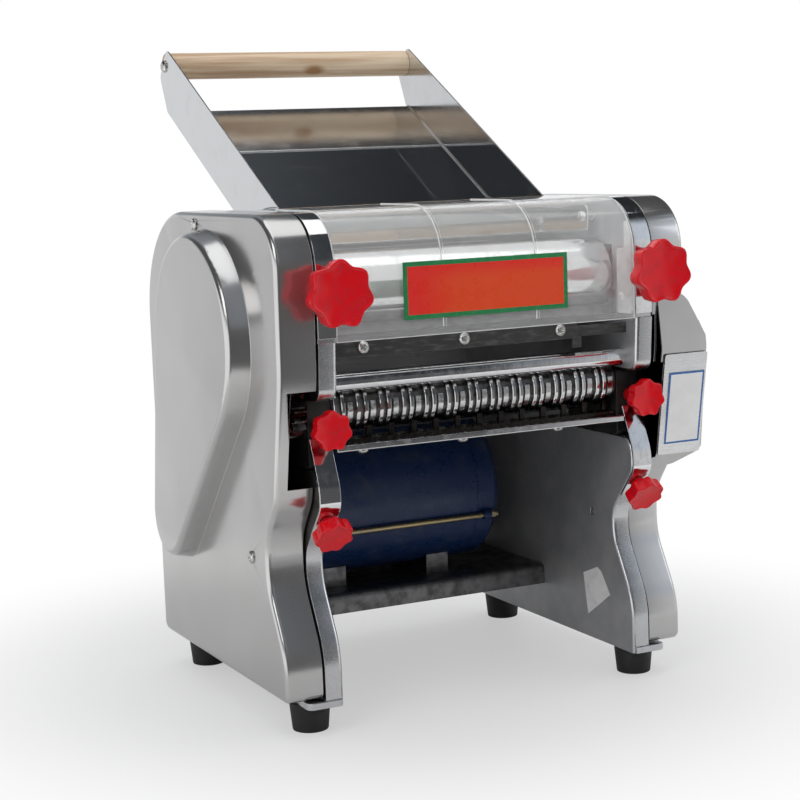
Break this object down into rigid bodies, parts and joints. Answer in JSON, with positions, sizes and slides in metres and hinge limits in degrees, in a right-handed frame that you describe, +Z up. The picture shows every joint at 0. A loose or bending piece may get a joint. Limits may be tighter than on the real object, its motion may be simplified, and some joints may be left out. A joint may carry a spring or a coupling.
{
  "type": "pasta maker",
  "caption": "Electric pasta maker: steel hopper, two polished rollers with adjustable gap, ring-cutter cassette, red star knobs, belt-drive housing and clear guard",
  "frame": {"origin": "bottom centre of the whole machine's bounding box, on the surface that its feet stand on", "axes": "+X runs along the rollers towards the switch side, -Y is the front with the knobs, +Z is up"},
  "size_m": [0.3698, 0.3937, 0.4993],
  "materials": {
    "cast_aluminium": "as cast, edges ground bright",
    "cover_steel": "brushed along its length",
    "polished_steel": "polished",
    "roller_steel": "ground and polished",
    "hopper_steel": "mirror-polished sheet",
    "dark_steel": "oiled",
    "gear_steel": "machined, greased",
    "zinc_screw": "zinc plated",
    "yellow_zinc": "yellow passivated",
    "bronze": "sintered bronze",
    "black_paint": "black enamel",
    "motor_blue": "dark blue enamel",
    "red_knob": "glossy moulded",
    "black_block": "black nylon",
    "black_rubber": "moulded",
    "belt_rubber": "wrapped cloth and rubber",
    "clear_acrylic": "clear moulded",
    "red_rocker": "moulded",
    "plate_white": "bare instruction plate",
    "grip_wood": "turned, unvarnished"
  },
  "bodies": {
    "machine": {"left_frame": "cast_aluminium", "right_frame": "cast_aluminium", "left_cover": "cover_steel", "right_cover": "cover_steel", "left_trim_strip": "polished_steel", "right_trim_strip": "polished_steel", "cover_standoffs": "zinc_screw", "cover_screws": "zinc_screw", "switch_panel": "plate_white", "feet": "black_rubber", "tie_rods": "polished_steel", "rear_bearings": "bronze", "rear_scraper": "dark_steel", "idler_stud": "zinc_screw", "belt": "belt_rubber", "motor_body": "motor_blue", "motor_bells": "motor_blue", "motor_bolts": "yellow_zinc", "motor_plate": "dark_steel", "back_panel": "cover_steel", "left_cutter_plate": "black_block", "right_cutter_plate": "black_block", "cutter_bar": "polished_steel", "front_comb": "dark_steel", "rear_comb": "dark_steel", "guard": "clear_acrylic", "guard_brackets": "black_paint", "guard_rail": "black_paint", "front_screws": "zinc_screw", "left_hopper_plate": "hopper_steel", "right_hopper_plate": "hopper_steel", "hopper_tray": "hopper_steel", "hopper_rod": "grip_wood", "hopper_bolts": "zinc_screw", "switch_bezel": "black_block", "cable_gland": "black_block"},
    "front_carriage": {"front_bearings": "black_block", "front_scraper": "dark_steel"},
    "front_roller": {"front_roller": "roller_steel", "front_roller_gear": "gear_steel"},
    "rear_roller": {"rear_roller": "roller_steel", "gear_cluster": "gear_steel", "rear_roller_gear": "gear_steel"},
    "layshaft": {"layshaft": "gear_steel", "drive_pulley": "cast_aluminium"},
    "motor_rotor": {"motor_pulley": "gear_steel"},
    "idler": {"idler_gear": "gear_steel"},
    "rear_cutter": {"rear_cutter": "roller_steel", "rear_cutter_gear": "gear_steel"},
    "front_cutter": {"front_cutter": "roller_steel", "front_cutter_gear": "gear_steel"},
    "left_setting_knob": {"left_setting_knob": "red_knob"},
    "right_setting_knob": {"right_setting_knob": "red_knob"},
    "left_cutter_knob": {"left_cutter_knob": "red_knob"},
    "right_cutter_knob": {"right_cutter_knob": "red_knob"},
    "left_clip": {"left_clip": "polished_steel"},
    "right_clip": {"right_clip": "polished_steel"},
    "left_clip_knob": {"left_clip_knob": "red_knob"},
    "right_clip_knob": {"right_clip_knob": "red_knob"},
    "rocker": {"switch_rocker": "red_rocker"}
  },
  "joints": [
    {"name": "gap_slide", "type": "slide", "parent": "machine", "child": "front_carriage", "axis": [0, -1, 0], "range_m": [0, 0.0035]},
    {"name": "rear_roller_spin", "type": "hinge", "parent": "machine", "child": "rear_roller", "pos_m": [0, -0.0566, 0.312], "axis": [1, 0, 0], "continuous": true},
    {"name": "front_roller_spin", "type": "hinge", "parent": "front_carriage", "child": "front_roller", "pos_m": [0, -0.112, 0.312], "axis": [1, 0, 0], "continuous": true},
    {"name": "layshaft_spin", "type": "hinge", "parent": "machine", "child": "layshaft", "pos_m": [-0.15, -0.03635, 0.27693], "axis": [1, 0, 0], "continuous": true},
    {"name": "motor_spin", "type": "hinge", "parent": "machine", "child": "motor_rotor", "pos_m": [-0.15, 0.036, 0.134], "axis": [1, 0, 0], "continuous": true},
    {"name": "idler_spin", "type": "hinge", "parent": "machine", "child": "idler", "pos_m": [-0.143, -0.0869, 0.27098], "axis": [1, 0, 0], "continuous": true},
    {"name": "rear_cutter_spin", "type": "hinge", "parent": "machine", "child": "rear_cutter", "pos_m": [0, -0.096, 0.231], "axis": [1, 0, 0], "continuous": true},
    {"name": "front_cutter_spin", "type": "hinge", "parent": "machine", "child": "front_cutter", "pos_m": [0, -0.13, 0.231], "axis": [1, 0, 0], "continuous": true},
    {"name": "left_setting_turn", "type": "hinge", "parent": "front_carriage", "child": "left_setting_knob", "pos_m": [-0.129, -0.176, 0.316], "axis": [0, -1, 0], "range_deg": [0, 630.5]},
    {"name": "left_cutter_knob_turn", "type": "hinge", "parent": "machine", "child": "left_cutter_knob", "pos_m": [-0.129, -0.161, 0.2205], "axis": [0, -1, 0], "range_deg": [0, 360]},
    {"name": "left_clip_slide", "type": "slide", "parent": "machine", "child": "left_clip", "axis": [0, -0.7665, -0.6423], "range_m": [0, 0.006]},
    {"name": "left_clip_knob_turn", "type": "hinge", "parent": "left_clip", "child": "left_clip_knob", "pos_m": [-0.129, -0.153, 0.15621], "axis": [0, -0.7665, -0.6423], "range_deg": [0, 360]},
    {"name": "right_setting_turn", "type": "hinge", "parent": "front_carriage", "child": "right_setting_knob", "pos_m": [0.129, -0.176, 0.316], "axis": [0, -1, 0], "range_deg": [0, 630.5]},
    {"name": "right_cutter_knob_turn", "type": "hinge", "parent": "machine", "child": "right_cutter_knob", "pos_m": [0.129, -0.161, 0.2205], "axis": [0, -1, 0], "range_deg": [0, 360]},
    {"name": "right_clip_slide", "type": "slide", "parent": "machine", "child": "right_clip", "axis": [0, -0.7665, -0.6423], "range_m": [0, 0.006]},
    {"name": "right_clip_knob_turn", "type": "hinge", "parent": "right_clip", "child": "right_clip_knob", "pos_m": [0.129, -0.153, 0.15621], "axis": [0, -0.7665, -0.6423], "range_deg": [0, 360]},
    {"name": "rocker_tilt", "type": "hinge", "parent": "machine", "child": "rocker", "pos_m": [0.184, -0.12, 0.214], "axis": [0, -1, 0], "range_deg": [0, 18]}
  ],
  "couplings": [
    {"joint": "front_roller_spin", "follows": "rear_roller_spin", "ratio": -1},
    {"joint": "layshaft_spin", "follows": "rear_roller_spin", "ratio": -3.5},
    {"joint": "motor_spin", "follows": "rear_roller_spin", "ratio": -10.182},
    {"joint": "idler_spin", "follows": "rear_roller_spin", "ratio": -1.125},
    {"joint": "rear_cutter_spin", "follows": "rear_roller_spin", "ratio": 1.5882},
    {"joint": "front_cutter_spin", "follows": "rear_roller_spin", "ratio": -1.5882},
    {"joint": "left_setting_turn", "follows": "gap_slide", "rad_per_m": 3141.6},
    {"joint": "right_setting_turn", "follows": "gap_slide", "rad_per_m": 3141.6}
  ]
}
